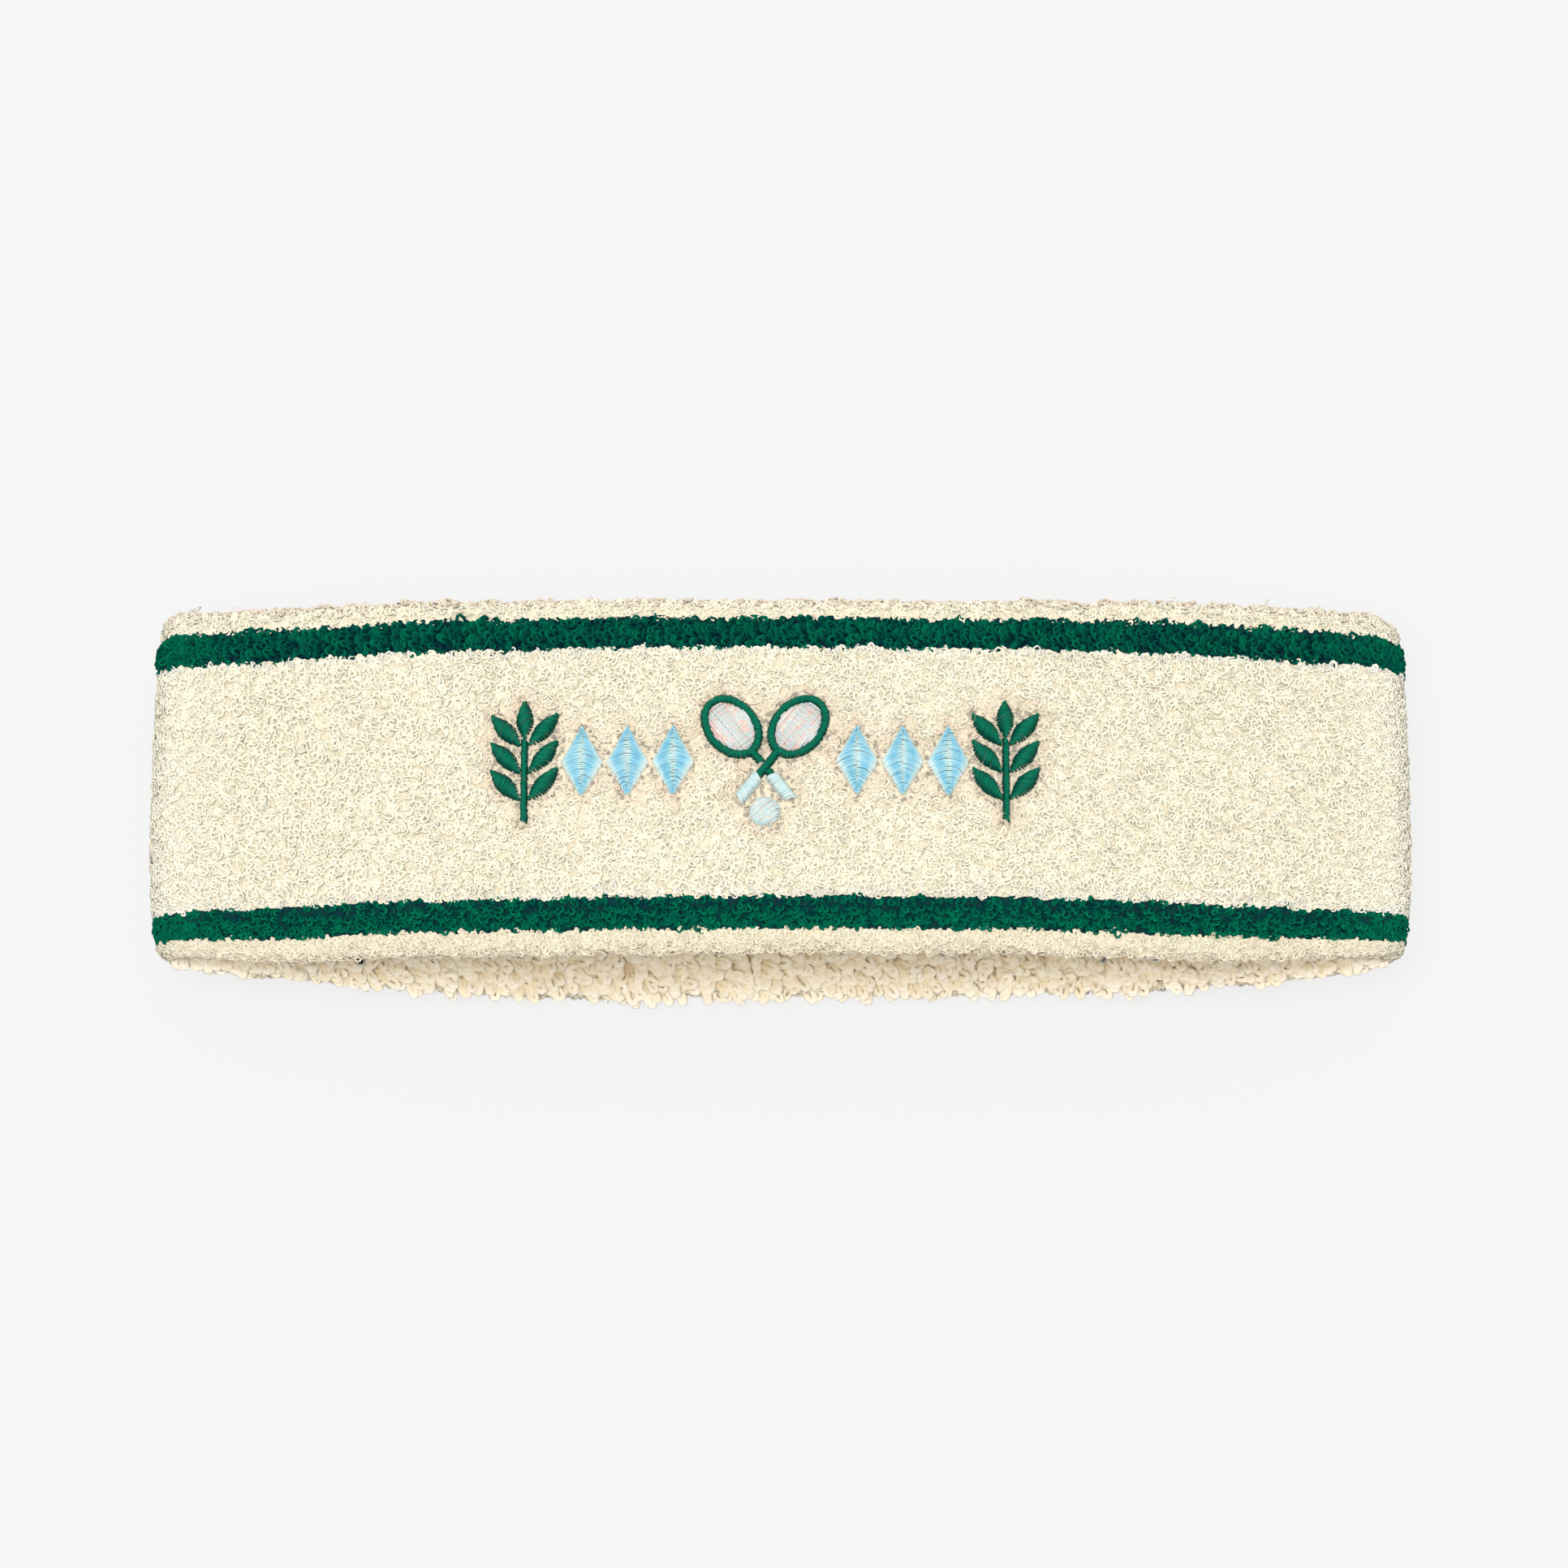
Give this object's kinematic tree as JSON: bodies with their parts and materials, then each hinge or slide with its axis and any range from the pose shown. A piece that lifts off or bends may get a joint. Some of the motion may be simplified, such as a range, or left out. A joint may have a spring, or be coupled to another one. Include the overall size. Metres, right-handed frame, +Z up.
{
  "type": "sports headband",
  "caption": "Double-layer terry sweatband for the head, lying flat: cream pile loop with a green stripe near each edge and a small stitched tennis emblem on the front.",
  "frame": {"origin": "on the surface it rests on, under the middle of the flattened loop", "axes": "+X along the folded width of the loop, +Y along the height of the band (the loop's own axis, upper edge at +Y), +Z up through the thickness of the flattened loop, emblem on the upper, +Z, wall"},
  "size_m": [0.18, 0.0516, 0.0307],
  "materials": {
    "cream_terry": "soft looped cotton pile",
    "green_terry": "soft looped cotton pile",
    "cream_edge": "tight fine looped edge",
    "lining_terry": "coarse looped pile",
    "elastic_knit": "dense elastic knit",
    "seam_thread": "linking stitches",
    "green_thread": "satin stitch with a sheen",
    "blue_thread": "satin stitch with a sheen",
    "string_thread": "fill stitch of mixed pale threads"
  },
  "bodies": {
    "root": {"outer_field": "cream_terry", "upper_stripe": "green_terry", "lower_stripe": "green_terry", "upper_edge": "cream_edge", "lower_edge": "cream_edge", "elastic_core": "elastic_knit", "inner_lining": "lining_terry", "closing_seam": "seam_thread", "left_stem": "green_thread", "left_leaves": "green_thread", "right_stem": "green_thread", "right_leaves": "green_thread", "lozenge_1": "blue_thread", "lozenge_2": "blue_thread", "lozenge_3": "blue_thread", "lozenge_4": "blue_thread", "lozenge_5": "blue_thread", "lozenge_6": "blue_thread", "racket_frame_a": "green_thread", "racket_frame_b": "green_thread", "racket_strings_a": "string_thread", "racket_strings_b": "string_thread", "racket_grip_a": "blue_thread", "racket_grip_b": "blue_thread", "ball_patch": "blue_thread"}
  },
  "joints": []
}
